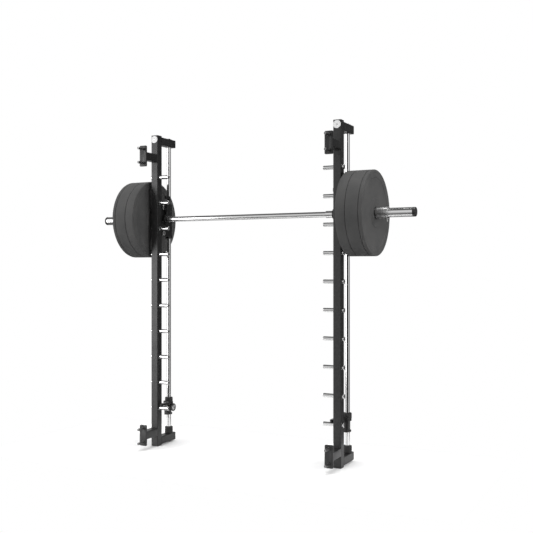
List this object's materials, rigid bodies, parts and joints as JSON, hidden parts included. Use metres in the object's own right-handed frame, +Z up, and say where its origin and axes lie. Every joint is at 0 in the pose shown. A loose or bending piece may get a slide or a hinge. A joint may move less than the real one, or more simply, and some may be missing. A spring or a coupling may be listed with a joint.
{
  "type": "smith machine",
  "caption": "Rack-mounted smith machine: two upright towers with guide rods and pegs, and a guided, hooked barbell with weight plates and safety stops.",
  "frame": {"origin": "on the floor plane, midway between the towers and midway from the rack studs' tips to the back of the weight plates", "axes": "+X along the barbell to the right-hand tower, +Y away from the rack that it bolts to, +Z up"},
  "size_m": [1.95, 0.461, 1.82],
  "materials": {
    "black_powdercoat": "satin fine-texture black powder coat",
    "black_cast": "satin black paint on machined and cast steel",
    "chrome": "polished hard chrome",
    "zinc": "bright zinc plating",
    "black_rubber": "moulded black rubber, slightly rough",
    "plate_rubber": "dense matt rubber with a faint moulded grain",
    "black_plastic": "moulded black plastic",
    "badge_white": "gloss white plastic",
    "bronze": "sintered bronze",
    "liner_plastic": "dark self-lubricating plastic"
  },
  "bodies": {
    "root": {"badges": "badge_white", "upright_caps": "black_plastic", "arm_caps": "black_plastic", "rack_studs": "zinc", "peg_caps": "chrome", "rod_screws": "black_cast", "left_upright": "black_powdercoat", "left_bottom_arm": "black_powdercoat", "left_top_arm": "black_powdercoat", "left_bottom_bracket": "black_powdercoat", "left_top_bracket": "black_powdercoat", "left_pegs": "chrome", "left_guide_rod": "chrome", "left_rod_bumper": "black_rubber", "right_upright": "black_powdercoat", "right_bottom_arm": "black_powdercoat", "right_top_arm": "black_powdercoat", "right_bottom_bracket": "black_powdercoat", "right_top_bracket": "black_powdercoat", "right_pegs": "chrome", "right_guide_rod": "chrome", "right_rod_bumper": "black_rubber"},
    "carriage": {"linear_bushings": "liner_plastic", "bar_bearings": "chrome", "carriage_bolts": "zinc", "left_carriage_housing": "black_cast", "left_bearing_block": "black_cast", "right_carriage_housing": "black_cast", "right_bearing_block": "black_cast"},
    "bar": {"bar_shaft": "chrome", "bar_collars": "chrome", "bar_end_screws": "zinc", "left_hook": "black_cast", "right_hook": "black_cast"},
    "left_sleeve": {"left_sleeve": "chrome", "left_sleeve_bushings": "bronze", "left_sleeve_cap": "black_plastic"},
    "left_weights": {"left_inner_weight": "plate_rubber", "left_middle_weight": "plate_rubber", "left_outer_weight": "plate_rubber", "left_lock_collar": "zinc"},
    "left_lock_pin": {"left_lock_pin": "chrome"},
    "left_stop_slider": {"left_stop_bush": "liner_plastic"},
    "left_stop": {"left_stop_body": "black_cast", "left_stop_arm": "black_cast", "left_stop_bumper": "black_rubber"},
    "left_stop_knob": {"left_stop_knob": "zinc"},
    "right_sleeve": {"right_sleeve": "chrome", "right_sleeve_bushings": "bronze", "right_sleeve_cap": "black_plastic"},
    "right_weights": {"right_inner_weight": "plate_rubber", "right_middle_weight": "plate_rubber", "right_outer_weight": "plate_rubber", "right_lock_collar": "zinc"},
    "right_lock_pin": {"right_lock_pin": "chrome"},
    "right_stop_slider": {"right_stop_bush": "liner_plastic"},
    "right_stop": {"right_stop_body": "black_cast", "right_stop_arm": "black_cast", "right_stop_bumper": "black_rubber"},
    "right_stop_knob": {"right_stop_knob": "zinc"}
  },
  "joints": [
    {"name": "carriage_slide", "type": "slide", "parent": "root", "child": "carriage", "axis": [0, 0, 1], "range_m": [-0.9, 0.335]},
    {"name": "bar_turn", "type": "hinge", "parent": "carriage", "child": "bar", "pos_m": [0, 0.0055, 1.331], "axis": [1, 0, 0], "range_deg": [-60, 28.7]},
    {"name": "left_sleeve_spin", "type": "hinge", "parent": "bar", "child": "left_sleeve", "pos_m": [-0.8, 0.0055, 1.331], "axis": [1, 0, 0], "continuous": true},
    {"name": "left_weights_off", "type": "slide", "parent": "left_sleeve", "child": "left_weights", "axis": [-1, 0, 0], "range_m": [0, 0.36]},
    {"name": "left_pin_pull", "type": "slide", "parent": "left_weights", "child": "left_lock_pin", "axis": [0, 0, -1], "range_m": [0, 0.005], "stiffness_N_per_m": 400, "springref_m": -0.004},
    {"name": "left_stop_lift", "type": "slide", "parent": "root", "child": "left_stop_slider", "axis": [0, 0, 1], "range_m": [0, 0.05]},
    {"name": "left_stop_swing", "type": "hinge", "parent": "left_stop_slider", "child": "left_stop", "pos_m": [-0.573, 0.0835, 0.2], "axis": [0, 0, 1], "range_deg": [0, 75]},
    {"name": "left_knob_turn", "type": "hinge", "parent": "left_stop", "child": "left_stop_knob", "pos_m": [-0.543, 0.0835, 0.208], "axis": [1, 0, 0], "continuous": true},
    {"name": "right_sleeve_spin", "type": "hinge", "parent": "bar", "child": "right_sleeve", "pos_m": [0.8, 0.0055, 1.331], "axis": [1, 0, 0], "continuous": true},
    {"name": "right_weights_off", "type": "slide", "parent": "right_sleeve", "child": "right_weights", "axis": [1, 0, 0], "range_m": [0, 0.36]},
    {"name": "right_pin_pull", "type": "slide", "parent": "right_weights", "child": "right_lock_pin", "axis": [0, 0, -1], "range_m": [0, 0.005], "stiffness_N_per_m": 400, "springref_m": -0.004},
    {"name": "right_stop_lift", "type": "slide", "parent": "root", "child": "right_stop_slider", "axis": [0, 0, 1], "range_m": [0, 0.05]},
    {"name": "right_stop_swing", "type": "hinge", "parent": "right_stop_slider", "child": "right_stop", "pos_m": [0.573, 0.0835, 0.2], "axis": [0, 0, -1], "range_deg": [0, 75]},
    {"name": "right_knob_turn", "type": "hinge", "parent": "right_stop", "child": "right_stop_knob", "pos_m": [0.543, 0.0835, 0.208], "axis": [1, 0, 0], "continuous": true}
  ]
}
